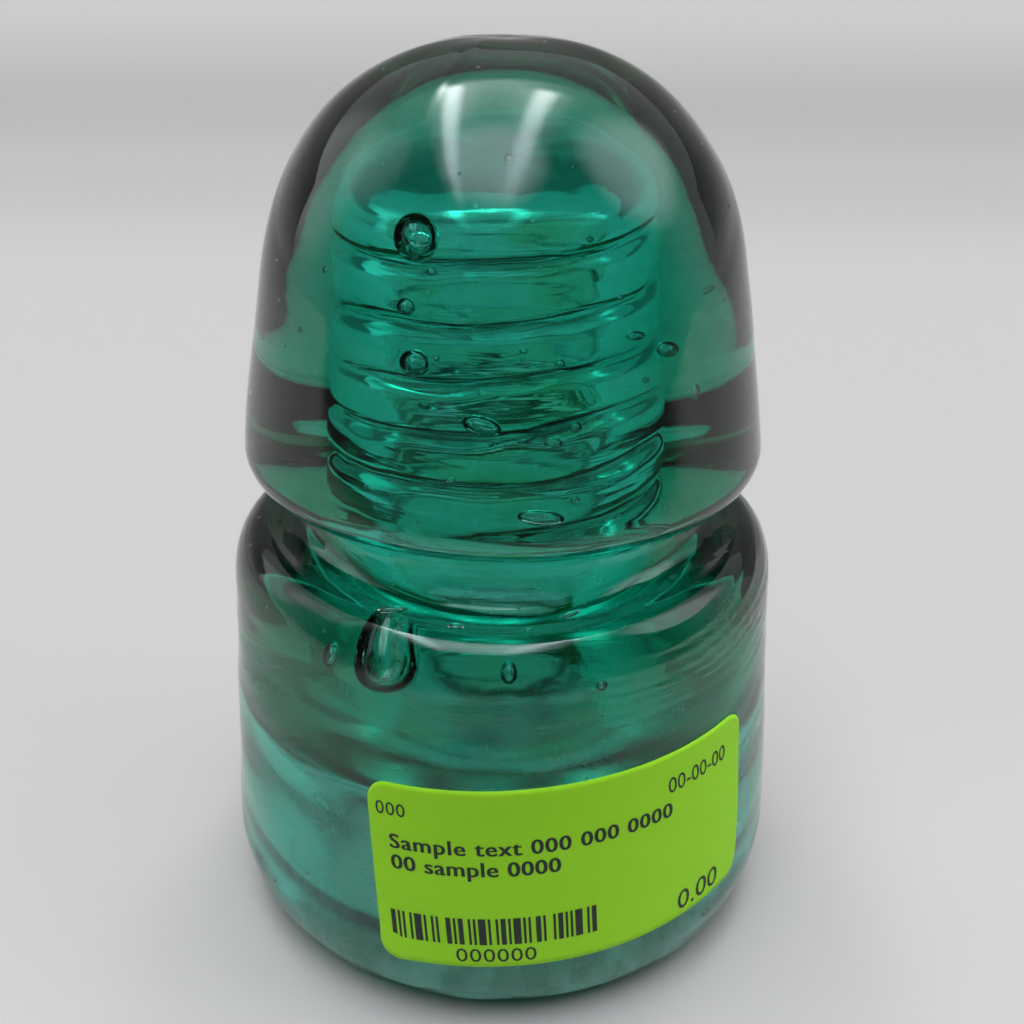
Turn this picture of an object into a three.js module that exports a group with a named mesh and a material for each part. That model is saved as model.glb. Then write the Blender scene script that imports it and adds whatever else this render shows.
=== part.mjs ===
// Glass pin insulator with an adhesive paper price label on its skirt.
// Millimetres, +Z up. The origin is on the turning axis, in the plane the base rim rests on.
// -Y is the front: the label is centred a little towards +X from it, to the viewer's right.
import * as THREE from 'three';

const QUARTER_TURN = Math.PI / 2;

// ---- outside of the glass ----
const HEIGHT = 101.6;            // base rim to the top of the crown (4 in)
const LIP_R = 29.58;             // crown radius at the lip level
const LIP_Z = 59.16;             // level where the crown is widest
// How far the crown stands off a plain ellipse: amplitudes of sin 2t, sin 4t, sin 6t, sin 8t
const CROWN_SHAPE = [0.992, -1.251, -0.168, 0.166];
const LIP_IN = 3.32;             // lip underside, radial run
const LIP_DROP = 3.77;           // lip underside, drop
const SHOULDER_TOP_Z = 49.0;     // top of the skirt shoulder
const SHOULDER_IN = 4.0;         // shoulder rounding, radial run
const SHOULDER_DROP = 7.0;       // shoulder rounding, drop
const SHOULDER_POWER = 2.3;      // 2 would be a plain ellipse; more is squarer
const SKIRT_TOP_R = 31.96;       // skirt cone, at SKIRT_TOP_Z
const SKIRT_BASE_R = 34.67;      // the same cone, at the base plane
const SKIRT_TOP_Z = 38.9;
const SKIRT_RING_LEVELS = [32, 20]; // rings between the shoulder and the rim
const RIM_IN = 6.8;              // outer rounding of the base rim, radial run
const RIM_RISE = 10.0;           // outer rounding of the base rim, rise
const SEAT_IN_R = 26.6;          // flat ring the base rests on: inner radius
const RIM_INNER_IN = 2.5;        // inner rounding of the base rim, radial run
const RIM_INNER_RISE = 8.5;      // inner rounding of the base rim, rise

const LIP_UNDER_R = LIP_R - LIP_IN;
const LIP_UNDER_Z = LIP_Z - LIP_DROP;
const SHOULDER_LOW_Z = SHOULDER_TOP_Z - SHOULDER_DROP;
const SHOULDER_TOP_R = skirtR(SHOULDER_LOW_Z) - SHOULDER_IN;

// Wire groove, lip underside to shoulder top: [radius, z]
const GROOVE_STATIONS = [
  [LIP_UNDER_R, LIP_UNDER_Z],
  [24.0, 55.1], [22.4, 53.9],
  [21.8, 52.1],                  // bottom of the groove
  [22.2, 50.2], [23.6, 48.5], [25.4, 48.3],
  [SHOULDER_TOP_R, SHOULDER_TOP_Z],
];

// ---- hollow skirt and pin hole ----
const BORE_PLAIN_R = 12.9;       // plain lower part of the pin hole
const BORE_PLAIN_TOP_Z = 47.5;
const THREAD_ROOT_R_TOP = 12.0;  // thread root radius at THREAD_TOP_Z
const THREAD_TOP_Z = 82.2;
const THREAD_TAPER = 0.024;      // root radius gained per millimetre going down
const THREAD_PITCH = 5.5;        // right-hand rounded pin thread
const THREAD_DEPTH = 1.0;
const THREAD_POWER = 2;          // 1 would be a plain wave; more narrows the crests
const THREAD_CREST_Z = 80.4;     // level of a crest at the front (-Y)
const THREAD_FADE_LOW = 3;       // length over which the thread grows at its lower end
const THREAD_FADE_HIGH = 1.6;    // length over which it dies out at its upper end
const BORE_END_Z = 86.2;         // blind end of the pin hole
const BORE_END_STEP = 0.25;      // its edge stands in from the thread root by this
const BORE_END_IN = 8.7;         // its shallow rounding, radial run
const BORE_END_RISE = 3.6;       // the same, rise

// Inside of the skirt, its roof and the plain bore, going up: [radius, z]
const HOLLOW_STATIONS = [
  [23.9, 21], [23.4, 24.2],      // inside of the skirt under its roof
  [21.5, 25.0], [18.4, 25.3],    // roof
  [15.2, 25.9], [13.4, 27.6],    // flare into the pin hole
  [BORE_PLAIN_R, 30.5], [BORE_PLAIN_R, 38], [BORE_PLAIN_R, BORE_PLAIN_TOP_Z],
];

// ---- label ----
const LABEL_W = 45.3;
const LABEL_H = 22.2;
const LABEL_T = 0.2;
const LABEL_CORNER = 2.4;
const LABEL_AZ = 0.262;          // turned from the front towards +X, radians
const LABEL_Z = 21.23;           // height of its centre
const LABEL_TILT = 0.046;        // anticlockwise seen from outside, radians
const LABEL_GAP = 0.05;          // clear of the faceted glass

// ---- mesh resolution ----
const LATHE_SEGMENTS = 40;
const CROWN_STEPS = 15;
const LIP_STEPS = 5;
const GROOVE_STEPS = 14;
const SHOULDER_STEPS = 6;
const RIM_STEPS = 7;
const RIM_INNER_STEPS = 5;
const HOLLOW_STEPS = 15;
const THREAD_RINGS_PER_PITCH = 5.6;
const BORE_END_STEPS = 5;
const LABEL_CORNER_STEPS = 4;
const LABEL_MIDDLE_STEPS = 24;
const LABEL_ROWS = 5;

// Radius of the skirt cone at a level.
function skirtR(z) {
  return SKIRT_BASE_R + (SKIRT_TOP_R - SKIRT_BASE_R) * z / SKIRT_TOP_Z;
}

// Points at steps first..steps of a quarter turn cut into equal steps.
function quarter(first, steps, pointAt) {
  const points = [];
  for (let i = first; i <= steps; i++) points.push(pointAt(QUARTER_TURN * i / steps));
  return points;
}

// Smooth curve through [radius, z] stations.
function through(stations, steps) {
  const knots = stations.map(([r, z]) => new THREE.Vector3(r, z, 0));
  const curve = new THREE.CatmullRomCurve3(knots, false, 'centripetal');
  return curve.getPoints(steps).map((point) => [point.x, point.y]);
}

// Crown in polar form about (0, LIP_Z); t = 0 at the lip, a quarter turn at the top.
function crownPoint(t) {
  const rise = HEIGHT - LIP_Z;
  let reach = LIP_R * rise / Math.hypot(rise * Math.cos(t), LIP_R * Math.sin(t));
  CROWN_SHAPE.forEach((amplitude, i) => {
    reach += amplitude * Math.sin(2 * (i + 1) * t);
  });
  return [reach * Math.cos(t), LIP_Z + reach * Math.sin(t)];
}

// Shoulder from its top to the skirt cone, a superellipse quarter.
function shoulderPoint(t) {
  const power = 2 / SHOULDER_POWER;
  return [
    SHOULDER_TOP_R + SHOULDER_IN * Math.sin(t) ** power,
    SHOULDER_LOW_Z + SHOULDER_DROP * Math.max(0, Math.cos(t)) ** power,
  ];
}

// From the top centre down the outside to the inner edge of the seat.
function outsideProfile() {
  const rimR = skirtR(RIM_RISE);
  return [
    [0, HEIGHT],
    ...quarter(1, CROWN_STEPS, (t) => crownPoint(QUARTER_TURN - t)),
    ...quarter(1, LIP_STEPS, (t) => [
      LIP_R - LIP_IN * (1 - Math.cos(t)),
      LIP_Z - LIP_DROP * Math.sin(t),
    ]),
    // the groove's end points belong to the lip and the shoulder
    ...through(GROOVE_STATIONS, GROOVE_STEPS).slice(1, -1),
    ...quarter(0, SHOULDER_STEPS, shoulderPoint),
    ...SKIRT_RING_LEVELS.map((z) => [skirtR(z), z]),
    ...quarter(0, RIM_STEPS, (t) => [
      rimR - RIM_IN * (1 - Math.cos(t)),
      RIM_RISE * (1 - Math.sin(t)),
    ]),
    [SEAT_IN_R, 0],
  ];
}

// From the seat up the inside of the skirt to the top of the plain bore.
function hollowProfile() {
  return [
    ...quarter(1, RIM_INNER_STEPS, (t) => [
      SEAT_IN_R - RIM_INNER_IN * Math.sin(t),
      RIM_INNER_RISE * (1 - Math.cos(t)),
    ]),
    ...through(HOLLOW_STATIONS, HOLLOW_STEPS),
  ];
}

function threadRootR(z) {
  return THREAD_ROOT_R_TOP + THREAD_TAPER * (THREAD_TOP_Z - z);
}

// Rings at the thread root; cutThread adds the helix.
function threadProfile() {
  const length = THREAD_TOP_Z - BORE_PLAIN_TOP_Z;
  const rings = Math.round(length / THREAD_PITCH * THREAD_RINGS_PER_PITCH);
  const points = [];
  for (let i = 1; i <= rings; i++) {
    const z = BORE_PLAIN_TOP_Z + length * i / rings;
    points.push([threadRootR(z), z]);
  }
  return points;
}

function blindEndProfile() {
  const edgeR = threadRootR(THREAD_TOP_Z) - BORE_END_STEP;
  return [
    ...quarter(0, BORE_END_STEPS, (t) => [
      edgeR - BORE_END_IN * (1 - Math.cos(t)),
      BORE_END_Z - BORE_END_RISE * (1 - Math.sin(t)),
    ]),
    [0, BORE_END_Z],
  ];
}

// How far the thread stands in from its root; a whole-number phase is a crest.
function threadRelief(z, angle) {
  const { smoothstep } = THREE.MathUtils;
  const turns = (angle + QUARTER_TURN) / (2 * Math.PI);
  const phase = (z - THREAD_CREST_Z) / THREAD_PITCH - turns;
  const fadeIn = smoothstep(z, BORE_PLAIN_TOP_Z, BORE_PLAIN_TOP_Z + THREAD_FADE_LOW);
  const fadeOut = 1 - smoothstep(z, THREAD_TOP_Z - THREAD_FADE_HIGH, THREAD_TOP_Z);
  const wave = 0.5 + 0.5 * Math.cos(2 * Math.PI * phase);
  return THREAD_DEPTH * fadeIn * fadeOut * wave ** THREAD_POWER;
}

// Pulls the vertices of rings first to end - 1 inwards along the helix.
function cutThread(geometry, ringCount, first, end) {
  const position = geometry.attributes.position;
  for (let i = 0; i < position.count; i++) {
    const ring = i % ringCount;
    if (ring < first || ring >= end) continue;
    const x = position.getX(i);
    const y = position.getY(i);
    const z = position.getZ(i);
    const radius = Math.hypot(x, y);
    const scale = (radius - threadRelief(z, Math.atan2(y, x))) / radius;
    position.setXYZ(i, x * scale, y * scale, z);
  }
}

function glassGeometry() {
  const thread = threadProfile();
  const blindEnd = blindEndProfile();
  // the lathe's faces point out when its profile runs from the blind end to the top
  const profile = [...outsideProfile(), ...hollowProfile(), ...thread, ...blindEnd].reverse();
  const points = profile.map(([r, z]) => new THREE.Vector2(r, z));
  const geometry = new THREE.LatheGeometry(points, LATHE_SEGMENTS);
  geometry.rotateX(QUARTER_TURN);
  cutThread(geometry, profile.length, blindEnd.length, blindEnd.length + thread.length);
  geometry.computeVertexNormals();
  return geometry;
}

// Distances across the label from its middle, closer together at the rounded corners.
function labelColumns() {
  const half = LABEL_W / 2;
  const corner = quarter(0, LABEL_CORNER_STEPS, (t) => LABEL_CORNER * (1 - Math.cos(t)));
  const middle = [];
  for (let i = 1; i < LABEL_MIDDLE_STEPS; i++) {
    middle.push(-half + LABEL_CORNER + (LABEL_W - 2 * LABEL_CORNER) * i / LABEL_MIDDLE_STEPS);
  }
  return [
    ...corner.map((inset) => inset - half),
    ...middle,
    ...corner.reverse().map((inset) => half - inset),
  ];
}

// Half the label's height at a distance across it.
function labelHalfHeight(across) {
  const intoCorner = Math.max(0, LABEL_CORNER - (LABEL_W / 2 - Math.abs(across)));
  const arc = Math.sqrt(Math.max(0, LABEL_CORNER ** 2 - intoCorner ** 2));
  return LABEL_H / 2 - (LABEL_CORNER - arc);
}

// Tilts a flat label point and wraps it round the skirt cone.
function labelPoint(across, up, lift) {
  const cos = Math.cos(LABEL_TILT);
  const sin = Math.sin(LABEL_TILT);
  const z = LABEL_Z + across * sin + up * cos;
  const radius = skirtR(z) + LABEL_GAP + lift;
  const angle = LABEL_AZ + (across * cos - up * sin) / skirtR(z);
  return [radius * Math.sin(angle), -radius * Math.cos(angle), z];
}

// A thin rounded rectangle laid on the skirt cone.
function labelGeometry() {
  const columns = labelColumns();
  const vertices = [];
  for (const lift of [0, LABEL_T]) {
    for (const across of columns) {
      const half = labelHalfHeight(across);
      for (let j = 0; j <= LABEL_ROWS; j++) {
        vertices.push(...labelPoint(across, -half + 2 * half * j / LABEL_ROWS, lift));
      }
    }
  }

  const indices = [];
  const quad = (a, b, c, d) => indices.push(a, b, c, a, c, d);
  const inner = (i, j) => i * (LABEL_ROWS + 1) + j;
  const outer = (i, j) => inner(columns.length + i, j);
  const last = columns.length - 1;
  for (let i = 0; i < last; i++) {
    for (let j = 0; j < LABEL_ROWS; j++) {
      quad(outer(i, j), outer(i + 1, j), outer(i + 1, j + 1), outer(i, j + 1));
      quad(inner(i, j), inner(i, j + 1), inner(i + 1, j + 1), inner(i + 1, j));
    }
    // bottom and top edges
    const top = LABEL_ROWS;
    quad(inner(i, 0), inner(i + 1, 0), outer(i + 1, 0), outer(i, 0));
    quad(inner(i, top), outer(i, top), outer(i + 1, top), inner(i + 1, top));
  }
  // left and right edges
  for (let j = 0; j < LABEL_ROWS; j++) {
    quad(inner(0, j), outer(0, j), outer(0, j + 1), inner(0, j + 1));
    quad(inner(last, j), inner(last, j + 1), outer(last, j + 1), outer(last, j));
  }

  const geometry = new THREE.BufferGeometry();
  geometry.setAttribute('position', new THREE.Float32BufferAttribute(vertices, 3));
  geometry.setIndex(indices);
  geometry.computeVertexNormals();
  return geometry;
}

function piece(name, geometry, look) {
  const mesh = new THREE.Mesh(geometry, new THREE.MeshStandardMaterial(look));
  mesh.name = name;
  return mesh;
}

const GLASS = { color: 0x2a8a70, roughness: 0.05, metalness: 0 };
const PAPER = { color: 0x76ad2c, roughness: 0.7, metalness: 0 };

const part = new THREE.Group();
part.add(piece('glass_body', glassGeometry(), GLASS));
part.add(piece('price_label', labelGeometry(), PAPER));

export default part;
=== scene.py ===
# Glass pin insulator with a paper price label, standing on a pale sheet.
# It stands upright on the floor (z = 0) with its axis on +Z. The front, with the label, faces -Y
# and +X is to the right. Shapes are worked out in millimetres and scaled to metres as meshes.
import math
from types import SimpleNamespace

import bpy
import numpy as np
from mathutils import Matrix, Vector


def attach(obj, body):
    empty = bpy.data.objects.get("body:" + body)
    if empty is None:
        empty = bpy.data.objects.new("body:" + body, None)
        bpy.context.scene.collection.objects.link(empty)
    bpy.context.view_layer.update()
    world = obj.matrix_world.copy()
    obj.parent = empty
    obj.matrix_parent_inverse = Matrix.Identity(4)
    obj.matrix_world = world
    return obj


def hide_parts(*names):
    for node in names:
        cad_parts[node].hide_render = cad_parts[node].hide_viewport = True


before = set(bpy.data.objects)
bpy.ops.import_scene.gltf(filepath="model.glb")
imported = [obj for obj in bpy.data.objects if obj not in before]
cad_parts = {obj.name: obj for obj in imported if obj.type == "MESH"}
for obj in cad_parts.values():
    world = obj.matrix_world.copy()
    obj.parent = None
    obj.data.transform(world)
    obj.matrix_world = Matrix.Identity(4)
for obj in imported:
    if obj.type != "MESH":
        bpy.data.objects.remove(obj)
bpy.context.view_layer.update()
scene = bpy.context.scene
MM = 0.001
PI = math.pi

# ------------------------------------------------------------------ sizes, mm
# _R radius, _Z height above the floor, _IN inward run, _DROP and _RISE vertical run of a curve
HEIGHT, LIP_R, LIP_Z = 101.6, 29.58, 59.16
CROWN_HARMONICS = [0.992, -1.251, -0.168, 0.166]     # departures of the crown from an ellipse
LIP_IN, LIP_DROP = 3.32, 3.77
NECK_R, NECK_Z = 21.8, 52.1
SHOULDER_TOP_Z, SHOULDER_IN, SHOULDER_DROP, SHOULDER_POWER = 49.0, 4.0, 7.0, 2.3
SKIRT_TOP_R, SKIRT_BASE_R, SKIRT_TOP_Z = 31.96, 34.67, 38.9
RIM_IN, RIM_RISE = 6.8, 10.0
SEAT_IN_R, SEAT_W = 26.6, 0.35
RIM_INNER_IN, RIM_INNER_RISE = 2.5, 8.5
HOLLOW_R_TOP, HOLLOW_TOP_Z, HOLLOW_ROOF_Z = 23.9, 21, 25.0
BORE_PLAIN_R, BORE_PLAIN_TOP_Z = 12.9, 47.5
BORE_SHIFT = 0.6                                     # the hole's upper part lies this far to the left
THREAD_ROOT_R_TOP, THREAD_TOP_Z, THREAD_TAPER = 12.0, 82.2, 0.024
THREAD_PITCH, THREAD_DEPTH, THREAD_CREST_Z = 5.5, 1.0, 80.4
BORE_END_Z, BORE_END_IN, BORE_END_RISE, BORE_END_STEP = 86.2, 8.7, 3.6, 0.25
BORE_END_FLAT_R = 1.5
GLASS_COLUMNS = 216

# heights of the surface irregularities
BROAD_WAVE_H, MEDIUM_WAVE_H, FINE_WAVE_H = 0.07, 0.028, 0.010
INNER_BROAD_H, INNER_MEDIUM_H = 0.06, 0.018
RIM_MOTTLE_H = 0.05
WRINKLE_H, WRINKLE_PITCH = 0.13, 1.6
SEAM_H, SEAM_W, SEAM_DEGREES = 0.045, 0.42, (-25, 155)      # front left and back right
GROOVE_LINE_H, GROOVE_LINE_PITCH = 0.030, 1.25
BORE_LINE_H, BORE_LINE_PITCH = 0.022, 1.9
FRONT_DIP, FRONT_DIP_SPREAD = 1.1, math.radians(42)

LABEL_W, LABEL_H, LABEL_CORNER = 45.3, 22.2, 2.4
LABEL_ANGLE, LABEL_Z, LABEL_TILT = 0.262, 21.23, 0.046      # angles in radians
PAPER_BOTTOM, PAPER_TOP = 0.03, 0.15                        # heights above the glass
INK_LIFT = 0.04

# sections of the glass profile, in the order they are drawn
(CROWN, LIP, GROOVE, SHOULDER, SKIRT, RIM, SEAT, INNER_RIM,
 HOLLOW, ROOF, THREAD, BLIND_END) = range(12)


# ------------------------------------------------------------------ curves and noise
def rise(x, start, end):
    """A smooth step from 0 up to 1."""
    t = np.clip((np.asarray(x, float) - start) / (end - start), 0, 1)
    return t * t * (3 - 2 * t)


def fall(x, start, end):
    """A smooth step from 1 down to 0."""
    return 1 - rise(x, start, end)


def bell(x, centre, width):
    return np.exp(-((np.asarray(x, float) - centre) / width) ** 2)


def skirt_r(z):
    return SKIRT_BASE_R + (SKIRT_TOP_R - SKIRT_BASE_R) * z / SKIRT_TOP_Z


def thread_root(z):
    return THREAD_ROOT_R_TOP + THREAD_TAPER * (THREAD_TOP_Z - z)


def quarter(count):
    """Angles over a quarter turn, without the first."""
    return np.linspace(0, PI / 2, count)[1:]


def between(t, start, end, first, second):
    return (end - t) / (end - start) * first + (t - start) / (end - start) * second


def curve_through(stations, count):
    """Centripetal Catmull-Rom curve as evenly spaced points, ends included."""
    p = np.array(stations, float)
    p = np.vstack([2 * p[0] - p[1], p, 2 * p[-1] - p[-2]])
    out = []
    for i in range(1, len(p) - 2):
        p0, p1, p2, p3 = p[i - 1:i + 3]
        t0 = 0.0
        t1 = t0 + np.linalg.norm(p1 - p0) ** 0.5
        t2 = t1 + np.linalg.norm(p2 - p1) ** 0.5
        t3 = t2 + np.linalg.norm(p3 - p2) ** 0.5
        for t in np.linspace(t1, t2, 24, endpoint=False):
            a1 = between(t, t0, t1, p0, p1)
            a2 = between(t, t1, t2, p1, p2)
            a3 = between(t, t2, t3, p2, p3)
            b1 = between(t, t0, t2, a1, a2)
            b2 = between(t, t1, t3, a2, a3)
            out.append(between(t, t1, t2, b1, b2))
    out.append(p[-2])
    out = np.array(out)
    length = np.r_[0, np.cumsum(np.hypot(*np.diff(out, axis=0).T))]
    wanted = np.linspace(0, length[-1], count)
    return np.stack([np.interp(wanted, length, out[:, axis]) for axis in (0, 1)], 1)


rng = np.random.default_rng(20240611)


def wave_field(count, max_turns, min_length, max_length):
    """Smooth noise over (angle, height), periodic in angle, of about unit variance."""
    turns = rng.integers(-max_turns, max_turns + 1, count)
    length = rng.uniform(min_length, max_length, count)
    phase = rng.uniform(0, 2 * PI, count)
    weight = rng.uniform(0.5, 1.0, count)
    weight /= math.sqrt((weight ** 2).sum() / 2)

    def field(angle, z):
        out = np.zeros(np.broadcast(angle, z).shape)
        for k in range(count):
            out += weight[k] * np.cos(turns[k] * angle + 2 * PI * z / length[k] + phase[k])
        return out
    return field


# the order of these draws fixes the shape of the glass
broad_wave = wave_field(9, 3, 22, 70)
medium_wave = wave_field(14, 9, 7, 22)
fine_wave = wave_field(18, 26, 2.6, 8)
inner_broad = wave_field(10, 4, 12, 40)
inner_medium = wave_field(16, 14, 3.5, 11)
warp_wave = wave_field(8, 6, 6, 20)


# ------------------------------------------------------------------ glass shape
def crown_point(t):
    """(radius, height) at angle t up from the lip."""
    a, b = LIP_R, HEIGHT - LIP_Z
    reach = a * b / math.hypot(b * math.cos(t), a * math.sin(t))
    for k, share in enumerate(CROWN_HARMONICS):
        reach += share * math.sin(2 * (k + 1) * t)
    return reach * math.cos(t), LIP_Z + reach * math.sin(t)


def profile():
    """(radius, height) points and their sections: from the top centre down the outside,
    round the rim and up the hole to its blind end."""
    points, sections = [], []

    def add(section, new_points):
        for r, z in new_points:
            points.append((float(r), float(z)))
            sections.append(section)

    steps = 66
    add(CROWN, [(0.0, HEIGHT)])
    add(CROWN, [crown_point((PI / 2) * (1 - i / steps)) for i in range(1, steps + 1)])
    add(LIP, [(LIP_R - LIP_IN * (1 - math.cos(t)), LIP_Z - LIP_DROP * math.sin(t))
              for t in quarter(15)])
    shoulder_z = SHOULDER_TOP_Z - SHOULDER_DROP
    shoulder_r = skirt_r(shoulder_z) - SHOULDER_IN
    add(GROOVE, curve_through(
        [(LIP_R - LIP_IN, LIP_Z - LIP_DROP), (24.0, 55.1), (22.4, 53.9), (NECK_R, NECK_Z),
         (22.2, 50.2), (23.6, 48.5), (25.4, 48.3), (shoulder_r, SHOULDER_TOP_Z)], 30)[1:-1])
    power = 2 / SHOULDER_POWER
    add(SHOULDER, [(shoulder_r + SHOULDER_IN * math.sin(t) ** power,
                    shoulder_z + SHOULDER_DROP * max(0.0, math.cos(t)) ** power)
                   for t in np.linspace(0, PI / 2, 30)])
    # closer rows where the wrinkles are
    heights = np.r_[np.arange(shoulder_z - 0.3, 27.2, -0.3), np.linspace(27, RIM_RISE, 16)]
    add(SKIRT, [(skirt_r(z), z) for z in heights])
    rim_r = skirt_r(RIM_RISE)
    add(RIM, [(rim_r - RIM_IN * (1 - math.cos(t)), RIM_RISE * (1 - math.sin(t)))
              for t in quarter(26)])
    add(SEAT, [(SEAT_IN_R + SEAT_W, 0), (SEAT_IN_R, 0)])
    add(INNER_RIM, [(SEAT_IN_R - RIM_INNER_IN * math.sin(t), RIM_INNER_RISE * (1 - math.cos(t)))
                    for t in quarter(16)])
    hollow_r = SEAT_IN_R - RIM_INNER_IN
    add(HOLLOW, [(hollow_r + (HOLLOW_R_TOP - hollow_r) * k,
                  RIM_INNER_RISE + (HOLLOW_TOP_Z - RIM_INNER_RISE) * k)
                 for k in np.linspace(0, 1, 12)[1:-1]])
    add(ROOF, curve_through(
        [(HOLLOW_R_TOP, HOLLOW_TOP_Z), (23.4, 24.2), (21.5, HOLLOW_ROOF_Z), (18.4, 25.3),
         (15.2, 25.9), (13.4, 27.6), (BORE_PLAIN_R, 30.5), (BORE_PLAIN_R, 38),
         (BORE_PLAIN_R, BORE_PLAIN_TOP_Z)], 52))
    rows = 92
    add(THREAD, [(thread_root(z), z) for z in BORE_PLAIN_TOP_Z
                 + (THREAD_TOP_Z - BORE_PLAIN_TOP_Z) * np.arange(1, rows + 1) / rows])
    end_r = thread_root(THREAD_TOP_Z) - BORE_END_STEP
    add(BLIND_END, [(end_r, BORE_END_Z - BORE_END_RISE)])
    add(BLIND_END, [(end_r - BORE_END_IN * (1 - math.cos(t)),
                     BORE_END_Z - BORE_END_RISE * (1 - math.sin(t))) for t in quarter(14)])
    add(BLIND_END, [(BORE_END_FLAT_R, BORE_END_Z), (0.0, BORE_END_Z)])
    return np.array(points), np.array(sections)


def column_angles(count):
    """Angles round the axis, 0 at the front, closer together at the front and right."""
    grid = np.linspace(-PI, PI, 4001)
    density = (1 + 1.1 * np.exp(-((grid - math.radians(42)) / math.radians(38)) ** 2)
               + 0.35 * np.exp(-(grid / math.radians(70)) ** 2))
    total = np.r_[0, np.cumsum((density[1:] + density[:-1]) / 2)]
    total /= total[-1]
    return np.interp(np.arange(count) / count, total, grid)


def wrinkles(angle, z):
    """Flow lines: nested sagging lines on the right of the shoulder and the upper skirt."""
    degrees = np.degrees(angle)
    # steep to the left of 24 degrees, shallow to the right of it
    sag = np.where(degrees < 24, 0.019 * (24 - degrees) ** 2, 0.0012 * (degrees - 24) ** 2)
    level = z - sag + 0.30 * warp_wave(angle, z)
    mask = rise(degrees, 5, 15) * fall(degrees, 66, 88) * rise(z, 34.5, 38.5) * fall(z, 47.2, 49)
    lines = 1 - np.abs(np.sin(PI * (level / WRINKLE_PITCH + 0.16 * medium_wave(angle, z))))
    strength = np.clip(0.75 + 0.5 * broad_wave(angle * 2, z), 0.1, 1.4)
    return WRINKLE_H * mask * (lines ** 3 - 0.18) * strength


def surface_relief(section, r, z, angle):
    """How far the glass stands off its turned profile, along the profile's normal."""
    outer, inner = section <= RIM, section >= HOLLOW
    groove = section == GROOVE
    middle = (section >= GROOVE) * (section <= SKIRT)
    off_axis = rise(r, 0, 9)
    relief = np.zeros(r.shape)
    relief += outer * off_axis * (BROAD_WAVE_H * broad_wave(angle, z)
                                  + MEDIUM_WAVE_H * medium_wave(angle, z))
    relief += middle * FINE_WAVE_H * fine_wave(angle, z)
    relief += middle * wrinkles(angle, z)
    # the mottled lower rim
    relief += ((section == RIM) * RIM_MOTTLE_H * fine_wave(angle, z)
               * fall(z, 5.5, 8.4) * rise(z, 0, 0.8))
    # mould seam
    for seam in map(math.radians, SEAM_DEGREES):
        away = np.angle(np.exp(1j * (angle - seam)))
        relief += ((section <= SKIRT) * (section != GROOVE) * off_axis * SEAM_H
                   * bell(away * r, 0.35 * np.sin(z / 9), SEAM_W) * (0.6 + 0.4 * np.sin(z / 3.1)))
    # inside of the skirt and the hole
    relief += inner * rise(r, 0, 6) * (INNER_BROAD_H * inner_broad(angle, z)
                                       + INNER_MEDIUM_H * inner_medium(angle, z))
    # turned lines in the groove and on top of the shoulder
    relief += (groove * GROOVE_LINE_H
               * np.sin(2 * PI * z / GROOVE_LINE_PITCH + 1.3 * broad_wave(angle, z))
               * rise(z, 48.6, 49.6) * fall(z, 53, 54.5))
    return relief


def thread_relief(z, angle):
    """Inward height of the right-hand pin thread, its crests a little uneven."""
    level = z + 0.16 * inner_broad(angle, z) + 0.05 * inner_medium(angle, z)
    phase = (level - THREAD_CREST_Z) / THREAD_PITCH - angle / (2 * PI)
    fade = (rise(z, BORE_PLAIN_TOP_Z, BORE_PLAIN_TOP_Z + 3)
            * fall(z, THREAD_TOP_Z - 1.6, THREAD_TOP_Z))
    ridge = 0.5 + 0.5 * np.cos(2 * PI * phase)
    relief = (fade * (0.85 * ridge ** 9 + 0.15 * ridge ** 2) * THREAD_DEPTH
              * (0.9 + 0.12 * inner_medium(angle, z)))
    # fine turned lines between the crests
    return relief + fade * BORE_LINE_H * np.sin(
        2 * PI * (z / BORE_LINE_PITCH) + 1.5 * inner_broad(angle, z) + angle)


def build_glass():
    points, sections = profile()
    r, z, section, angle = np.broadcast_arrays(
        points[1:-1, 0][:, None], points[1:-1, 1][:, None], sections[1:-1][:, None],
        column_angles(GLASS_COLUMNS)[None, :])
    # profile normals, pointing out of the glass
    slope = np.gradient(points, axis=0)
    normal_r, normal_z = -slope[:, 1], slope[:, 0]
    length = np.hypot(normal_r, normal_z)
    relief = surface_relief(section, r, z, angle)
    moved_r = r + (normal_r / length)[1:-1, None] * relief
    moved_z = z + (normal_z / length)[1:-1, None] * relief
    # the front of the shoulder stands a little lower than its back
    outer, groove = section <= RIM, section == GROOVE
    moved_z = moved_z - (FRONT_DIP * np.exp(-(angle / FRONT_DIP_SPREAD) ** 2) * outer
                         * (section >= GROOVE) * rise(z, 40, 46)
                         * (1 - rise(z, 49.3, 52) * groove))
    moved_r = moved_r - np.where(section == THREAD, thread_relief(z, angle), 0)
    x, y = moved_r * np.sin(angle), -moved_r * np.cos(angle)
    x = x - BORE_SHIFT * np.where(section >= HOLLOW, rise(z, 27, 44), 0)
    rings, n = x.shape
    verts = np.vstack([[(0.0, 0.0, HEIGHT)], np.stack([x, y, moved_z], 2).reshape(-1, 3),
                       [(-BORE_SHIFT, 0.0, BORE_END_Z)]])
    # the base stays flat on the floor
    verts[:, 2] = np.maximum(verts[:, 2], 0)
    here = np.arange(n)
    following = (here + 1) % n
    upper = 1 + np.arange(rings - 1)[:, None] * n
    lower = upper + n
    quads = np.stack([upper + here, lower + here, lower + following, upper + following], 2)
    last = 1 + (rings - 1) * n
    faces = [(0, 1 + a, 1 + b) for a, b in zip(here, following)]
    faces += quads.reshape(-1, 4).tolist()
    faces += [(last + a, 1 + rings * n, last + b) for a, b in zip(here, following)]
    return verts, faces


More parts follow.
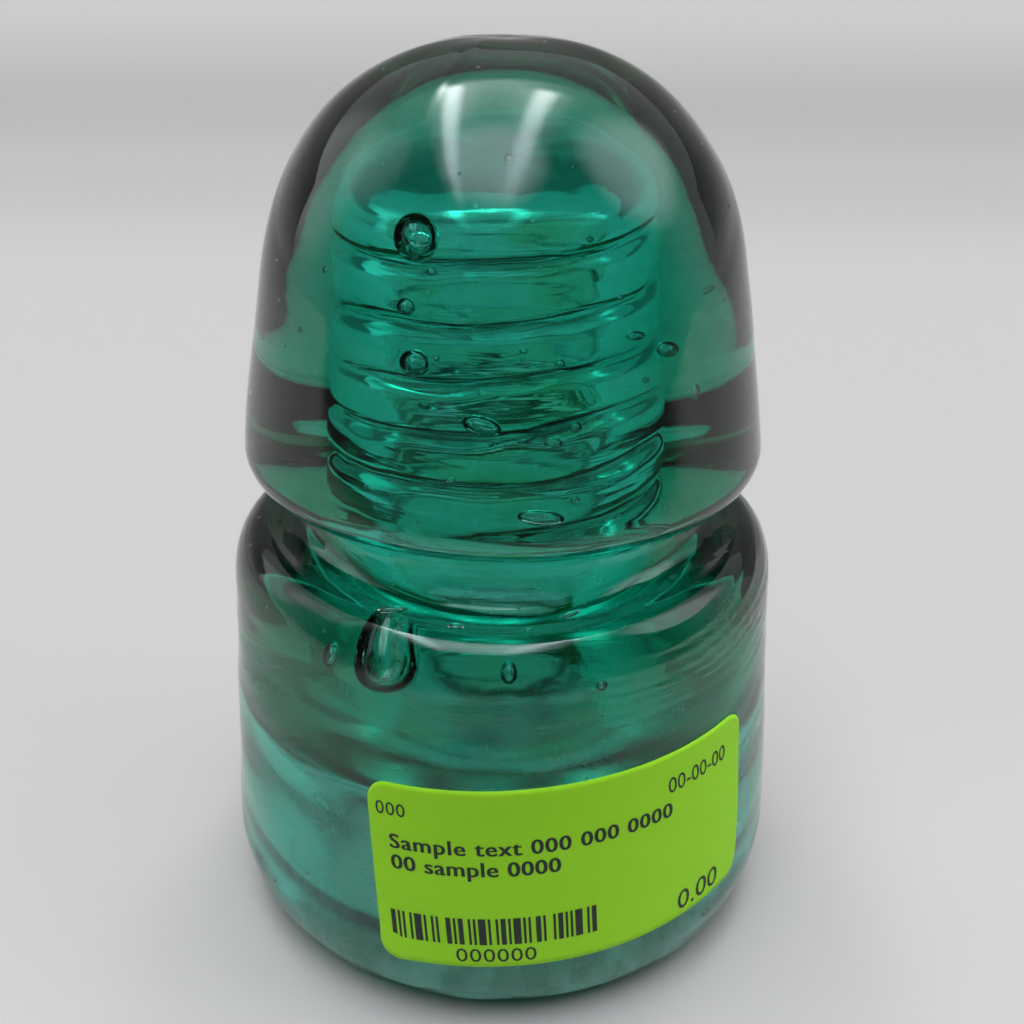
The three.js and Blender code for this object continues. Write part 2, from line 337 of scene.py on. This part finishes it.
# ------------------------------------------------------------------ camera axes
# also the axes of the bubbles; angles in radians, place in metres
PITCH, YAW, ROLL = 0.442, 0.007, 0.006
EYE = Vector((0, -0.13845, 0.11368))
level_right = Vector((1, 0, 0))
pitched = Vector((0, math.cos(PITCH), -math.sin(PITCH)))
pitched_up = level_right.cross(pitched)
view_forward = pitched * math.cos(YAW) + level_right * math.sin(YAW)
yawed_right = level_right * math.cos(YAW) - pitched * math.sin(YAW)
view_right = yawed_right * math.cos(ROLL) + pitched_up * math.sin(ROLL)
view_up = pitched_up * math.cos(ROLL) - yawed_right * math.sin(ROLL)


# ------------------------------------------------------------------ bubbles
# centre x, y, z; half sizes across, up and deep in the view; turn in degrees
BUBBLES = [
    (-7.63, -16.67, 84.62, 2.08, 2.23, 1.97, 20),
    (-6.23, -17.65, 81.84, 0.49, 0.37, 0.35, 0),
    (-8.55, -18.22, 78.78, 0.92, 0.84, 0.80, 0),
    (-7.86, -19.96, 73.91, 1.44, 1.31, 1.24, -10),
    (-5.98, -20.41, 74.47, 0.34, 0.32, 0.31, 0),
    (-1.94, -23.05, 68.64, 1.89, 1.02, 0.97, -18),
    (6.45, -22.38, 68.32, 0.61, 0.56, 0.53, 0),
    (4.48, -23.04, 66.92, 0.87, 0.56, 0.53, 0),
    (3.51, -25.35, 60.03, 2.23, 0.85, 0.81, -6),
    (11.60, -17.95, 75.95, 0.94, 0.47, 0.45, 0),
    (14.77, -17.32, 74.41, 1.25, 0.77, 0.73, -5),
    (1.74, -19.93, 75.22, 0.41, 0.28, 0.26, 0),
    (1.66, -20.09, 74.39, 0.21, 0.23, 0.20, 0),
    (19.05, -14.32, 79.42, 0.95, 0.30, 0.28, 20),
    (17.94, -16.75, 69.79, 0.56, 0.79, 0.53, 0),
    (0.34, -16.67, 91.65, 0.52, 0.66, 0.49, 0),
    (6.07, -18.14, 91.68, 0.23, 0.24, 0.21, 0),
    (-16.27, -15.38, 81.38, 0.32, 0.34, 0.30, 0),
    (-13.02, -23.06, 62.02, 0.37, 0.29, 0.28, 0),
    (-11.30, -23.90, 48.30, 1.60, 0.38, 0.40, 5),
    (-11.55, -24.70, 43.80, 3.25, 3.90, 2.50, 10),
    (-17.01, -22.57, 42.52, 0.89, 1.25, 0.84, -20),
    (0.66, -26.82, 42.91, 0.84, 0.99, 0.79, 0),
    (-4.80, -25.87, 47.14, 1.03, 0.79, 0.75, 10),
    (2.68, -26.15, 47.13, 0.56, 0.40, 0.38, 0),
    (6.78, -25.84, 48.94, 1.17, 0.30, 0.29, 20),
    (9.76, -26.39, 41.61, 0.58, 0.51, 0.48, 0),
    (23.44, -22.56, 7.49, 0.72, 0.49, 0.47, 0),
    (10.14, -17.86, 79.64, 0.34, 0.28, 0.27, 0),
    (4.90, -19.74, 73.89, 0.50, 0.46, 0.44, 0),
    (-18.74, -13.41, 74.88, 0.28, 0.30, 0.26, 0),
    (6.64, -24.55, 61.56, 0.45, 0.28, 0.27, 0),
    (-4.85, -23.64, 63.26, 0.52, 0.28, 0.27, 10),
    (12.79, -19.10, 71.96, 0.35, 0.29, 0.27, 0),
    (7.44, -18.23, 85.01, 0.34, 0.28, 0.26, 0),
]
SMALL_BUBBLE, TALL_BUBBLE = 0.5, 3       # half sizes: fewer segments below, tapered above
BUBBLE_TAPER = 0.32


def bubble(centre, sizes, turn, segments, rings, taper):
    """A closed ellipsoid whose faces point into the bubble, out of the glass."""
    t = math.radians(turn)
    centre = np.array(centre, float)
    across = np.array(view_right * math.cos(t) + view_up * math.sin(t))
    tall = np.array(view_up * math.cos(t) - view_right * math.sin(t))
    deep = np.array(view_forward)
    verts = [centre + tall * sizes[1]]
    for j in range(1, rings):
        polar = PI * j / rings
        width = math.sin(polar) * (1 - taper * math.cos(polar))
        for i in range(segments):
            turned = 2 * PI * i / segments
            verts.append(centre + across * sizes[0] * width * math.cos(turned)
                         + deep * sizes[2] * width * math.sin(turned)
                         + tall * sizes[1] * math.cos(polar))
    verts.append(centre - tall * sizes[1])
    faces = []
    last = 1 + (rings - 1) * segments
    for i in range(segments):
        k = (i + 1) % segments
        faces.append((1 + k, 1 + i, 0))
        faces.append((last - segments + i, last - segments + k, last))
        for j in range(rings - 2):
            a, b = 1 + j * segments, 1 + (j + 1) * segments
            faces.append((a + k, b + k, b + i, a + i))
    return np.array(verts), faces


def join(parts):
    """Several (vertices, faces) as one."""
    all_verts, all_faces, count = [], [], 0
    for verts, faces in parts:
        all_verts.append(verts)
        all_faces += [tuple(i + count for i in face) for face in faces]
        count += len(verts)
    return np.vstack(all_verts), all_faces


def build_bubbles():
    parts = []
    for row in BUBBLES:
        centre, sizes, turn = row[:3], row[3:6], row[6]
        segments, rings = (12, 7) if max(sizes) < SMALL_BUBBLE else (20, 12)
        taper = BUBBLE_TAPER if sizes[1] > TALL_BUBBLE else 0.0
        parts.append(bubble(centre, sizes, turn, segments, rings, taper))
    return parts


def mesh_object(name, verts, faces, material, scale=MM, smooth_shade=True):
    mesh = bpy.data.meshes.new(name)
    mesh.from_pydata((np.asarray(verts, float) * scale).tolist(), [],
                     [tuple(map(int, face)) for face in faces])
    mesh.update()
    mesh.polygons.foreach_set("use_smooth", [smooth_shade] * len(mesh.polygons))
    mesh.materials.append(material)
    made = bpy.data.objects.new(name, mesh)
    scene.collection.objects.link(made)
    return made


# ------------------------------------------------------------------ shader helpers
class Graph:
    """A node tree being built. Inputs may be numbers, colours or other nodes' outputs."""

    def __init__(self, owner, output, spare=None):
        """spare, if given, fills the inputs that a maths node leaves over."""
        owner.use_nodes = True
        self.tree = owner.node_tree
        self.tree.nodes.clear()
        self.spare = spare
        self.output = self.add(output)

    def add(self, kind, inputs=None, **settings):
        node = self.tree.nodes.new("ShaderNode" + kind)
        for name, value in settings.items():
            setattr(node, name, value)
        self.feed(node, inputs or {})
        return node

    def feed(self, node, inputs):
        for key, value in inputs.items():
            if isinstance(value, bpy.types.NodeSocket):
                self.tree.links.new(value, node.inputs[key])
            else:
                node.inputs[key].default_value = value

    def math(self, operation, *operands):
        if self.spare is not None:
            operands += (self.spare,) * (3 - len(operands))
        return self.add("Math", dict(enumerate(operands)), operation=operation).outputs[0]

    def times(self, first, second):
        return self.math("MULTIPLY", first, second)

    def remap(self, value, start, end, low=0.0, high=1.0, interpolation="SMOOTHSTEP"):
        """low where the value is start, high where it is end."""
        return self.add("MapRange", {0: value, 1: start, 2: end, 3: low, 4: high},
                        interpolation_type=interpolation).outputs[0]

    def fade(self, value, start, end):
        """1 up to start, 0 from end on."""
        return self.remap(value, start, end, low=1.0, high=0.0)

    def mix(self, first, second, factor):
        return self.add("Mix", {6: first, 7: second, 0: factor}, data_type="RGBA").outputs[2]

    def noise(self, vector, scale, detail, roughness=0.5, z_scale=None):
        """Noise, flattened along z by z_scale."""
        if z_scale is not None:
            vector = self.add("Mapping", {"Vector": vector, "Scale": (1, 1, z_scale)}).outputs[0]
        return self.add("TexNoise", {"Vector": vector, "Scale": scale, "Detail": detail,
                                     "Roughness": roughness}).outputs["Fac"]

    def object_position(self):
        return self.add("TexCoord").outputs["Object"]


def surface_material(name, inputs, spare=None):
    """A material with one principled shader: (material, graph, shader)."""
    material = bpy.data.materials.new(name)
    graph = Graph(material, "OutputMaterial", spare)
    shader = graph.add("BsdfPrincipled", inputs)
    graph.feed(graph.output, {"Surface": shader.outputs[0]})
    return material, graph, shader


# ------------------------------------------------------------------ glass material
# lengths in the shaders are metres; amounts of dirt and of painted shade are mixing shares, 0 to 1
GLASS_TINT, GLASS_DENSITY = (0.0, 0.79, 0.70, 1), 128.0
HOLLOW_ROUGH, BORE_ROUGH, SPECK_ROUGH = 0.24, 0.10, 0.45
HOLLOW_DULL, BORE_DULL, DULL_COLOR = 0.58, 0.15, (0.30, 0.31, 0.29, 1)
RING_MARKS = 0.7
# painted contact shade mixed with grime inside the foot: its share and colour
INNER_FOOT_GRIME_AND_SHADE, INNER_FOOT_GRIME_SHADE_COLOR = 0.95, (0.10, 0.16, 0.14, 1)
# dust mixed with painted shade on the outside of the foot: its share and colour
FOOT_DUST_AND_SHADE, DUST_SHADE_COLOR = 0.32, (0.42, 0.36, 0.37, 1)
# painted shade: the dark line round the outside of the foot, its share and colour
FOOT_SHADE_LINE, SHADE_LINE_COLOR = 0.98, (0.05, 0.05, 0.06, 1)
LINE_SLOPE, LINE_OFFSET, LINE_MAX_CLIMB = 0.137, 0.00403, 0.0017    # the line climbs to the back
CREST_DIRT, CREST_COLOR = 0.9, (0.08, 0.09, 0.06, 1)
FILM, FILM_COLOR = 0.75, (0.62, 0.60, 0.22, 1)
SKIN_DUST, SKIN_COLOR = 0.45, (0.50, 0.64, 0.72, 1)
FOOT_WALL = (0.0272, 0.0280)             # radii between the inside and the outside of the foot


def radial_distance(graph, x, y):
    return graph.math("SQRT", graph.math("ADD", graph.math("POWER", x, 2.0),
                                         graph.math("POWER", y, 2.0)))


def glass_places(graph):
    """Coordinates, the masks of the main regions, and the patchy noise they share."""
    position = graph.object_position()
    x, y, z = graph.add("SeparateXYZ", {0: position}).outputs
    radius = radial_distance(graph, x, y)
    hollow = graph.times(graph.fade(radius, 0.0264, 0.0270), graph.fade(z, 0.030, 0.040))
    bore = graph.times(graph.fade(radius, 0.0138, 0.0145), graph.fade(z, 0.0885, 0.0893))
    skin = graph.math("SUBTRACT", 1.0, graph.math("MAXIMUM", hollow, bore))
    patches = graph.noise(position, scale=160, detail=6, roughness=0.62)
    return SimpleNamespace(position=position, x=x, y=y, z=z, radius=radius, hollow=hollow,
                           bore=bore, skin=skin, patches=patches)


def glass_roughness(graph, place):
    """Duller inside, with specks of dust and tiny pits outside."""
    rough = graph.times(place.hollow, HOLLOW_ROUGH)
    rough = graph.math("MAXIMUM", rough, graph.times(place.bore, BORE_ROUGH))
    rough = graph.times(rough, graph.remap(place.patches, 0.35, 0.65, low=0.7, high=1.2))
    cells = graph.add("TexVoronoi", {"Vector": place.position, "Scale": 340})
    specks = graph.times(graph.fade(cells.outputs["Distance"], 0.05, 0.11),
                         graph.remap(place.patches, 0.42, 0.52))
    return graph.math("MAXIMUM", rough,
                      graph.times(graph.times(specks, place.skin), SPECK_ROUGH))


def crest_mask(graph, place):
    """Dirt held on the thread crests, measured from the hole's own shifted axis."""
    from_axis = radial_distance(graph, graph.math("ADD", place.x, BORE_SHIFT * MM), place.y)
    root = graph.math("MULTIPLY_ADD", place.z, -THREAD_TAPER,
                      THREAD_ROOT_R_TOP * MM + THREAD_TAPER * THREAD_TOP_Z * MM)
    crest = graph.times(
        graph.remap(graph.math("SUBTRACT", root, from_axis), 0.00035, 0.00080),
        graph.remap(place.z, 0.0475, 0.0490))
    crest = graph.times(crest, graph.times(graph.fade(place.z, 0.0810, 0.0822), place.bore))
    return graph.times(crest, graph.remap(place.patches, 0.34, 0.62, low=0.25, high=CREST_DIRT))


def foot_shade_line(graph, place):
    """Painted shade: a dark line round the outside of the foot."""
    climb = graph.math("MULTIPLY_ADD", place.y, LINE_SLOPE, LINE_OFFSET)
    climb = graph.math("MINIMUM", graph.math("MAXIMUM", climb, 0.0), LINE_MAX_CLIMB)
    level = graph.math("SUBTRACT", place.z, climb)
    line = graph.times(graph.remap(level, 0.0104, 0.0124), graph.fade(level, 0.0133, 0.0140))
    return graph.times(line, graph.remap(place.patches, 0.30, 0.60, low=0.74, high=FOOT_SHADE_LINE))


def glass_color(graph, place):
    """Clear glass under layers of dullness, film, dirt and painted shade."""
    z, patches = place.z, place.patches
    dull = graph.math("MAXIMUM", graph.times(place.hollow, HOLLOW_DULL),
                      graph.times(place.bore, BORE_DULL))
    dull = graph.times(dull, graph.remap(patches, 0.35, 0.62, low=0.75, high=1.15))
    color = graph.mix((1, 1, 1, 1), DULL_COLOR, dull)
    # yellowish film and dirty crests in the hole
    crest = crest_mask(graph, place)
    film = graph.noise(place.position, scale=75, detail=3, z_scale=2.4)
    film = graph.times(place.bore, graph.remap(film, 0.44, 0.66, high=FILM))
    color = graph.mix(color, FILM_COLOR, film)
    color = graph.mix(color, CREST_COLOR, crest)
    # grime and painted contact shade on the inside of the foot
    foot = graph.times(graph.fade(z, 0.0078, 0.0090), graph.fade(place.radius, *FOOT_WALL))
    foot = graph.times(foot, graph.remap(patches, 0.36, 0.60, low=0.45, high=INNER_FOOT_GRIME_AND_SHADE))
    color = graph.mix(color, INNER_FOOT_GRIME_SHADE_COLOR, foot)
    # dust and painted shade on the outside of the foot, and a painted shade line round it
    wall = graph.remap(place.radius, *FOOT_WALL)
    dust_and_shade = graph.times(graph.fade(z, 0.0130, 0.0140),
                       graph.remap(patches, 0.34, 0.62, low=0.04, high=FOOT_DUST_AND_SHADE))
    line = foot_shade_line(graph, place)
    color = graph.mix(color, DUST_SHADE_COLOR, graph.times(wall, dust_and_shade))
    color = graph.mix(color, SHADE_LINE_COLOR, graph.times(wall, line))
    # faint blue-grey mottling outside the crown
    marks = graph.noise(place.position, scale=210, detail=7, roughness=0.72)
    mottle = graph.times(graph.remap(z, 0.050, 0.056),
                         graph.remap(marks, 0.42, 0.62, high=SKIN_DUST))
    return graph.mix(color, SKIN_COLOR, graph.times(place.skin, mottle))


def glass_normal(graph, place):
    """Fine ripples drawn out round the axis, and finer marks running round the hole."""
    ripples = graph.noise(place.position, scale=330, detail=2, z_scale=2.2)
    rippled = graph.add("Bump", {"Strength": 0.05, "Distance": 0.00012, "Height": ripples})
    rings = graph.noise(place.position, scale=130, detail=2, z_scale=9)
    return graph.add("Bump", {
        "Strength": graph.times(place.bore, RING_MARKS), "Distance": 0.00010,
        "Height": rings, "Normal": rippled.outputs[0]}).outputs[0]


def glass_material():
    # the plain colour and roughness show only if their links are removed
    material, graph, shader = surface_material("teal_glass", {
        "Base Color": (1, 1, 1, 1), "Roughness": 0.0, "IOR": 1.5,
        "Transmission Weight": 1.0}, spare=0.0)
    body = graph.add("VolumeAbsorption", {"Color": GLASS_TINT, "Density": GLASS_DENSITY})
    graph.feed(graph.output, {"Volume": body.outputs[0]})
    place = glass_places(graph)
    graph.feed(shader, {"Roughness": glass_roughness(graph, place)})
    graph.feed(shader, {"Base Color": glass_color(graph, place)})
    graph.feed(shader, {"Normal": glass_normal(graph, place)})
    return material


glass = mesh_object("glass_body_clear", *join([build_glass()] + build_bubbles()),
                    glass_material())
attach(glass, "root")
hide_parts("glass_body")


# ------------------------------------------------------------------ label paper
def on_label(u, v, lift):
    """Label coordinates from its centre (u right, v up) and height above the glass to a point."""
    around = u * np.cos(LABEL_TILT) - v * np.sin(LABEL_TILT)
    z = LABEL_Z + (u * np.sin(LABEL_TILT) + v * np.cos(LABEL_TILT))
    cone_r = skirt_r(z)
    angle = LABEL_ANGLE + around / cone_r
    r = cone_r + lift
    return np.stack([r * np.sin(angle), -r * np.cos(angle), z], -1)


def glass_lift(u, v):
    """How far the wavy glass stands off the plain cone under a label point."""
    z = LABEL_Z + v
    angle = LABEL_ANGLE + u / skirt_r(z)
    return (BROAD_WAVE_H * broad_wave(angle, z) + MEDIUM_WAVE_H * medium_wave(angle, z)
            + FINE_WAVE_H * fine_wave(angle, z) + wrinkles(angle, z))


def build_label():
    """A thin closed sheet with rounded corners, bent round the skirt."""
    w, h, corner = LABEL_W / 2, LABEL_H / 2, LABEL_CORNER
    bend = corner * (1 - np.cos(np.linspace(0, PI / 2, 9)))
    columns = np.r_[-w + bend, np.linspace(-w + corner, w - corner, 70)[1:-1], (w - bend)[::-1]]
    rows = 34

    def sheet(lift):
        out = []
        for column in columns:
            into = max(0.0, corner - (w - abs(column)))
            top = h - (corner - math.sqrt(max(0.0, corner * corner - into * into)))
            v = np.linspace(-top, top, rows + 1)
            u = np.full_like(v, column)
            # the lower left corner and the right edge lift a touch
            curl = 0.22 * rise(-u, w - 5, w) * rise(-v, h - 5, h) + 0.10 * rise(u, w - 3, w)
            out.append(on_label(u, v, lift + glass_lift(u, v) + curl))
        return np.array(out).reshape(-1, 3)

    count = len(columns)

    def at(side, i, j):
        """Vertex index: side 0 against the glass, side 1 outside."""
        return side * count * (rows + 1) + i * (rows + 1) + j

    faces = []
    for i in range(count - 1):
        k = i + 1
        for j in range(rows):
            faces.append((at(1, i, j), at(1, k, j), at(1, k, j + 1), at(1, i, j + 1)))
            faces.append((at(0, i, j), at(0, i, j + 1), at(0, k, j + 1), at(0, k, j)))
        faces.append((at(0, i, 0), at(0, k, 0), at(1, k, 0), at(1, i, 0)))
        faces.append((at(0, i, rows), at(1, i, rows), at(1, k, rows), at(0, k, rows)))
    end = count - 1
    for j in range(rows):
        faces.append((at(0, 0, j), at(1, 0, j), at(1, 0, j + 1), at(0, 0, j + 1)))
        faces.append((at(0, end, j), at(0, end, j + 1), at(1, end, j + 1), at(1, end, j)))
    return np.vstack([sheet(PAPER_BOTTOM), sheet(PAPER_TOP)]), faces


PAPER_COLORS = (0.350, 0.790, 0.010, 1), (0.380, 0.830, 0.016, 1)


def paper_material():
    material, graph, shader = surface_material("lime_paper", {
        "Roughness": 0.62, "Specular IOR Level": 0.35})
    grain = graph.noise(graph.object_position(), scale=1800, detail=4)
    bump = graph.add("Bump", {"Strength": 0.12, "Distance": 0.00003, "Height": grain})
    graph.feed(shader, {"Base Color": graph.mix(*PAPER_COLORS, grain),
                        "Normal": bump.outputs[0]})
    return material


paper = mesh_object("price_label_paper", *build_label(), paper_material())
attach(paper, "root")
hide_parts("price_label")

# ------------------------------------------------------------------ label print
CAPITAL_HEIGHT = 0.69            # of the built-in face, as a share of its size
PLAIN, BOLD = (0.0,), (-0.07, 0.0, 0.07)     # sideways shifts of the copies laid over each other
# text, capital height, left end u, baseline v, stretch, letter spacing, weight
PRINT_LINES = [
    ("000", 1.55, -21.8, 7.25, 1.0, 1.05, PLAIN),
    ("00-00-00", 1.9, 10.5, 6.2, 0.92, 1.0, PLAIN),
    ("Sample text 000 000 0000", 1.75, -20.5, 3.3, 1.08, 1.08, BOLD),
    ("00 sample 0000", 1.75, -20.5, 0.75, 1.08, 1.05, BOLD),
    ("0.00", 2.6, 11.8, -10.2, 1.08, 1.0, PLAIN),
    ("000000", 1.75, -14.2, -10.4, 1.12, 1.05, PLAIN),
]
# a made-up bar code: widths of stripes and gaps in turn, in thin-stripe units
BAR_RUNS = [
    2, 1, 1, 1, 1, 2, 1, 1, 3, 1, 1, 2, 1, 1, 1, 3, 2, 1, 1, 1, 2, 2, 1, 1, 1, 1, 3, 1, 1, 2, 1, 1,
    2, 1, 1, 1, 3, 1, 1, 1, 1, 2, 2, 1, 1, 3, 1, 1, 2, 1, 1, 1, 1, 1, 3, 2, 1, 1, 2]
BARS_LEFT, BARS_W, BARS_BOTTOM, BARS_TOP = -21.1, 22.5, -8.1, -4.6
BAR_LEVELS = 9                   # points up each side of a stripe, so that it follows the glass


def ink_text(body, height, u, v, stretch, spacing):
    """Lettering as a flat mesh in label coordinates: (vertices, faces)."""
    curve = bpy.data.curves.new("tmp_text", "FONT")
    curve.body = body
    curve.size = height / CAPITAL_HEIGHT
    curve.space_character = spacing
    curve.resolution_u = 3
    holder = bpy.data.objects.new("tmp_text", curve)
    scene.collection.objects.link(holder)
    bpy.context.view_layer.update()
    graph = bpy.context.evaluated_depsgraph_get()
    mesh = bpy.data.meshes.new_from_object(holder.evaluated_get(graph))
    points = np.empty(len(mesh.vertices) * 3)
    mesh.vertices.foreach_get("co", points)
    points = points.reshape(-1, 3)
    # every face looks outward
    faces = [tuple(p.vertices) if p.normal.z >= 0 else tuple(p.vertices)[::-1]
             for p in mesh.polygons]
    bpy.data.objects.remove(holder)
    bpy.data.curves.remove(curve)
    bpy.data.meshes.remove(mesh)
    return np.stack([u + points[:, 0] * stretch, v + points[:, 1]], 1), faces


def build_ink():
    parts = []
    for *line, shifts in PRINT_LINES:
        points, faces = ink_text(*line)
        parts += [(points + [shift, 0], faces) for shift in shifts]
    u, unit, n = BARS_LEFT, BARS_W / sum(BAR_RUNS), BAR_LEVELS
    v = np.linspace(BARS_BOTTOM, BARS_TOP, n)
    for k, run in enumerate(BAR_RUNS):
        if k % 2 == 0:
            sides = [np.stack([np.full(n, edge), v], 1) for edge in (u, u + run * unit)]
            parts.append((np.vstack(sides), [(j, j + n, j + n + 1, j + 1) for j in range(n - 1)]))
        u += run * unit
    points, faces = join(parts)
    u, v = points[:, 0], points[:, 1]
    return on_label(u, v, PAPER_TOP + INK_LIFT + glass_lift(u, v)), faces


def ink_material():
    return surface_material("label_ink", {
        "Base Color": (0.018, 0.030, 0.022, 1), "Roughness": 0.7})[0]


ink = mesh_object("price_label_print", *build_ink(), ink_material(), smooth_shade=False)
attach(ink, "root")

# ------------------------------------------------------------------ floor and backdrop
# metres
FLOOR_GLOW, GLOW_COLOR, GLOW_EDGE = 0.20, (0.62, 1.0, 0.86, 1), (0.0215, 0.0245)
FRONT_FLOOR, FRONT_FADE = 0.15, (-0.16, -0.05)       # share of the colour kept in the painted shade in front; y of the fade
BOARD_COLOR = (0.522, 0.483, 0.458, 1)
# axis, from, to, change of brightness: painted shade and light, greyer further back and paler where
# the sheet climbs
BOARD_PAINTED_SHADE = [(1, -0.01, 0.04, -0.095), (1, 0.28, 0.46, -0.115), (2, 0.006, 0.070, 0.50)]
SHEET_HALF_W, SHEET_BELOW = 1.6, 0.00005
COVE_Y, COVE_R, SHEET_TOP_Z = 0.5, 0.32, 0.60


def board_material():
    # the plain colour shows only if its link is removed
    material, graph, shader = surface_material("pale_board", {
        "Base Color": (0.66, 0.66, 0.652, 1), "Roughness": 0.75, "Specular IOR Level": 0.2})
    position = graph.object_position()
    axes = graph.add("SeparateXYZ", {0: position}).outputs
    # painted shade: in front of the object the sheet is pale only to the camera's own rays and
    # darkened to all other rays
    front = graph.remap(axes[1], *FRONT_FADE, low=FRONT_FLOOR)
    seen = graph.add("LightPath").outputs["Is Camera Ray"]
    color = graph.mix((0.0, 0.0, 0.0, 1), BOARD_COLOR, graph.math("MAXIMUM", front, seen))
    shade, *others = [graph.remap(axes[axis], start, end, high=change)
                      for axis, start, end, change in BOARD_PAINTED_SHADE]
    for other in others:
        shade = graph.math("ADD", shade, other)
    shade = graph.math("ADD", shade, 1.0)
    shaded = graph.add("VectorMath", {0: color, "Scale": shade}, operation="SCALE")
    # light gathered by the glass under the hollow skirt
    radius = graph.add("VectorMath", {0: position}, operation="LENGTH").outputs["Value"]
    glow = graph.remap(radius, *GLOW_EDGE, low=FLOOR_GLOW, high=0.0, interpolation="LINEAR")
    graph.feed(shader, {"Base Color": shaded.outputs[0], "Emission Color": GLOW_COLOR,
                        "Emission Strength": glow})
    return material


def build_sheet():
    """Floor and backdrop, one sheet with a cove."""
    outline = [(y, 0.0) for y in (-1.2, -0.5, 0.0, 0.3, COVE_Y)]
    outline += [(COVE_Y + COVE_R * math.sin(t), COVE_R * (1 - math.cos(t))) for t in quarter(20)]
    outline.append((COVE_Y + COVE_R, SHEET_TOP_Z))
    verts = [(x, y, z - SHEET_BELOW) for x in (-SHEET_HALF_W, SHEET_HALF_W) for y, z in outline]
    n = len(outline)
    return verts, [(i, n + i, n + i + 1, i + 1) for i in range(n - 1)]


board = mesh_object("backdrop_sheet", *build_sheet(), board_material(), scale=1.0)

# ------------------------------------------------------------------ light
WORLD_FRONT, WORLD_BACK = 0.06, 0.55
FRONT_COLOR, BACK_COLOR = (0.86, 0.94, 1.03, 1), (0.945, 0.995, 1.02, 1)
# soft round patches: direction, cosine where full, cosine where gone, power
LOBES = [
    (0.72, 0.02, 0.66, 0.985, 0.90, 2.2),
    (-0.74, 0.05, 0.66, 0.995, 0.95, 0.8),
    (-0.82, 0.36, 0.42, 0.98, 0.90, 0.7),
    (-0.08, -0.37, 0.93, 0.998, 0.915, 3.8),
]
# strips on a ceiling one unit up, running front to back:
# x at y = 0, sideways slope, half width, front end, back end, power
STRIPS = [
    (-0.325, 0.13, 0.055, -1.00, 0.56, 8.6),
    (0.18, 0.17, 0.062, -0.95, 0.50, 7.2),
    (-0.08, 0.10, 0.300, -0.45, 0.62, 1.6),
]
STRIP_CORE = (0.2, 1.6)                  # fade of the bright core, in half widths
STRIP_HALO, STRIP_HALO_POWER = (0.5, 3.6), 0.22
STRIP_FRONT_RISE, STRIP_FRONT_POWER = 0.3, 0.16      # an early, weak start at the front end
STRIP_BACK_FADE, STRIP_GAMMA = 0.1, 1.1


def lobe(graph, direction, full, gone, power):
    length = math.sqrt(sum(part * part for part in direction[1]))
    (x, y, z), (toward_x, toward_y, toward_z) = direction
    facing = graph.times(x, toward_x / length)
    facing = graph.math("MULTIPLY_ADD", y, toward_y / length, facing)
    facing = graph.math("MULTIPLY_ADD", z, toward_z / length, facing)
    return graph.times(graph.remap(facing, gone, full), power)


def strip(graph, axes, middle, slope, half, front, back, power):
    x, y, z = axes
    above = graph.math("MAXIMUM", z, 0.05)
    u = graph.math("DIVIDE", x, above)
    v = graph.math("DIVIDE", y, above)
    line = graph.math("MULTIPLY_ADD", v, slope, middle)
    away = graph.math("ABSOLUTE", graph.math("SUBTRACT", u, line))
    across = graph.fade(away, *(half * share for share in STRIP_CORE))
    halo = graph.fade(away, *(half * share for share in STRIP_HALO))
    across = graph.math("MULTIPLY_ADD", halo, STRIP_HALO_POWER, across)
    along = graph.math("POWER", graph.remap(v, front, back), STRIP_GAMMA)
    along = graph.math("MULTIPLY_ADD", graph.remap(v, front, front + STRIP_FRONT_RISE),
                       STRIP_FRONT_POWER, along)
    end = graph.fade(v, back - STRIP_BACK_FADE, back)
    light = graph.times(graph.times(across, along), end)
    light = graph.times(light, graph.remap(z, 0.05, 0.25))
    return graph.times(light, power)


def build_world():
    """A dim room, brighter behind the object, with soft patches and overhead strips."""
    world = bpy.data.worlds.new("soft_room")
    scene.world = world
    graph = Graph(world, "OutputWorld")
    background = graph.add("Background")
    graph.feed(graph.output, {0: background.outputs[0]})
    direction = graph.add("TexCoord").outputs["Generated"]
    x, y, z = graph.add("SeparateXYZ", {0: direction}).outputs
    total = graph.remap(y, -0.35, 0.25, low=WORLD_FRONT, high=WORLD_BACK)
    for *toward, full, gone, power in LOBES:
        patch = lobe(graph, ((x, y, z), toward), full, gone, power)
        total = graph.math("ADD", total, patch)
    for row in STRIPS:
        total = graph.math("ADD", total, strip(graph, (x, y, z), *row))
    color = graph.mix(FRONT_COLOR, BACK_COLOR, graph.remap(y, -0.3, 0.35))
    graph.feed(background, {"Strength": total, "Color": color})


build_world()

# ------------------------------------------------------------------ camera
SENSOR_W, FOCAL_LENGTH = 36, 44.9578125      # mm


def build_camera():
    camera = bpy.data.cameras.new("camera")
    holder = bpy.data.objects.new("camera", camera)
    scene.collection.objects.link(holder)
    scene.camera = holder
    camera.sensor_width = SENSOR_W
    camera.lens = FOCAL_LENGTH
    camera.clip_start = 0.001
    placing = Matrix.Identity(4)
    for i in range(3):
        placing[i][0], placing[i][1], placing[i][2] = view_right[i], view_up[i], -view_forward[i]
    placing.translation = EYE
    holder.matrix_world = placing


build_camera()
scene.view_settings.view_transform = "Standard"
scene.view_settings.exposure = 0.0

# ------------------------------------------------------------------ close
bpy.context.view_layer.update()
